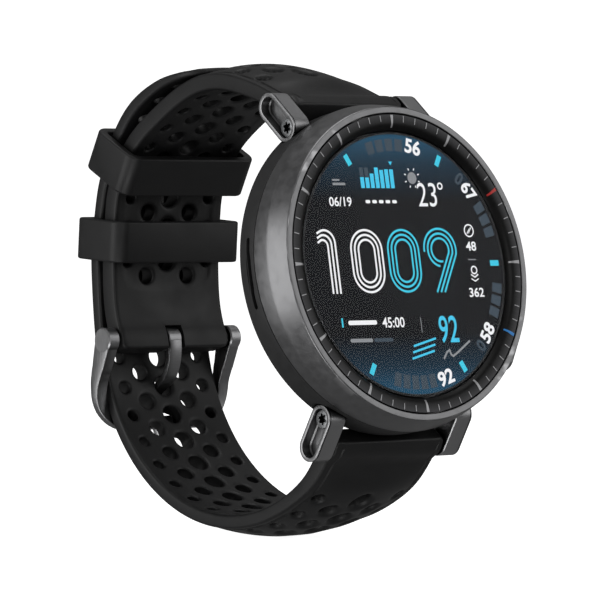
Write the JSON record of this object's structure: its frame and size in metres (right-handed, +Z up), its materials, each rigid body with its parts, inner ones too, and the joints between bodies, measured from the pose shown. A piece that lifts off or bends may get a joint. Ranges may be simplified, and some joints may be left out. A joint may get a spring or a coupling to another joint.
{
  "type": "gps running watch",
  "caption": "Round sports watch with a gunmetal bezel, digital dial and side buttons, on a perforated silicone strap closed by a pin buckle and sliding keepers.",
  "frame": {"origin": "centre of the flat of the optical sensor window, the face that rests on the wrist", "axes": "+X towards 3 o'clock; the dial faces -Y and leans back 10.5 degrees, so 12 o'clock is up along +Z; the strap loop is on the +Y side"},
  "size_m": [0.045, 0.0631, 0.0641],
  "materials": {
    "gunmetal": "bead-blasted gunmetal, slightly brushed",
    "lug_metal": "satin gunmetal",
    "black_resin": "fine matt",
    "silicone": "soft matt silicone",
    "ring_metal": "radially brushed with light grey minute marks",
    "crystal_glass": "polished",
    "display": "lit colour display under glass",
    "sensor_glass": "polished black",
    "steel": "satin",
    "gold": "plated",
    "board": "solder mask",
    "inner_plastic": "matt",
    "seal": "matt",
    "cell": "foil pouch"
  },
  "bodies": {
    "case": {"upper_case": "gunmetal", "lower_case": "black_resin", "back_cover": "black_resin", "chapter_ring": "ring_metal", "crystal": "crystal_glass", "crystal_gasket": "seal", "back_gasket": "seal", "display_panel": "display", "inner_frame": "inner_plastic", "speaker": "inner_plastic", "start_button_switch": "inner_plastic", "back_button_switch": "inner_plastic", "main_board": "board", "sensor_board": "board", "battery": "cell", "vibration_motor": "steel", "speaker_mesh": "steel", "gps_antenna": "gold", "charging_contact_1": "gold", "charging_contact_2": "gold", "charging_contact_3": "gold", "charging_contact_4": "gold", "sensor_window": "sensor_glass", "back_screw_1": "steel", "back_screw_2": "steel", "back_screw_3": "steel", "back_screw_4": "steel", "lug_upper_left": "lug_metal", "lug_screw_upper_left": "steel", "lug_upper_right": "lug_metal", "lug_screw_upper_right": "steel", "lug_lower_left": "lug_metal", "lug_screw_lower_left": "steel", "lug_lower_right": "lug_metal", "lug_screw_lower_right": "steel"},
    "strap_loop": {"upper_strap": "silicone", "lower_strap": "silicone", "upper_spring_bar": "steel", "lower_spring_bar": "steel"},
    "lower_keeper": {"lower_keeper": "silicone"},
    "upper_keeper": {"upper_keeper": "silicone"},
    "buckle_frame": {"buckle_frame": "lug_metal", "buckle_pin": "steel"},
    "buckle_tongue": {"buckle_tongue": "lug_metal"},
    "start_button": {"start_button": "gunmetal"},
    "back_button": {"back_button": "gunmetal"},
    "upper_release": {"upper_release_lever": "steel"},
    "lower_release": {"lower_release_lever": "steel"}
  },
  "joints": [
    {"name": "strap_swing", "type": "hinge", "parent": "case", "child": "strap_loop", "pos_m": [0, 0.00188, 0.0233], "axis": [1, 0, 0], "range_deg": [0, 40]},
    {"name": "buckle_swing", "type": "hinge", "parent": "strap_loop", "child": "buckle_frame", "pos_m": [0, 0.0392, -0.0091], "axis": [1, 0, 0], "range_deg": [0, 6]},
    {"name": "tongue_swing", "type": "hinge", "parent": "strap_loop", "child": "buckle_tongue", "pos_m": [0, 0.0392, -0.0091], "axis": [1, 0, 0], "range_deg": [0, 6]},
    {"name": "lower_keeper_slide", "type": "hinge", "parent": "strap_loop", "child": "lower_keeper", "pos_m": [0, -0.00161, 0.00065], "axis": [1, 0, 0], "range_deg": [-8, 3]},
    {"name": "upper_keeper_slide", "type": "hinge", "parent": "strap_loop", "child": "upper_keeper", "pos_m": [0, 0.02147, 0.00446], "axis": [1, 0, 0], "range_deg": [-6, 5]},
    {"name": "start_button_press", "type": "slide", "parent": "case", "child": "start_button", "axis": [-0.866, -0.0911, -0.4916], "range_m": [0, 0.0006], "stiffness_N_per_m": 1500, "springref_m": -0.0004},
    {"name": "back_button_press", "type": "slide", "parent": "case", "child": "back_button", "axis": [-0.866, 0.0911, 0.4916], "range_m": [0, 0.0006], "stiffness_N_per_m": 1500, "springref_m": -0.0004},
    {"name": "upper_release_slide", "type": "slide", "parent": "strap_loop", "child": "upper_release", "axis": [1, 0, 0], "range_m": [0, 0.0015], "stiffness_N_per_m": 500, "springref_m": -0.001},
    {"name": "lower_release_slide", "type": "slide", "parent": "strap_loop", "child": "lower_release", "axis": [1, 0, 0], "range_m": [0, 0.0015], "stiffness_N_per_m": 500, "springref_m": -0.001}
  ],
  "couplings": [
    {"joint": "tongue_swing", "follows": "buckle_swing", "ratio": 1}
  ]
}
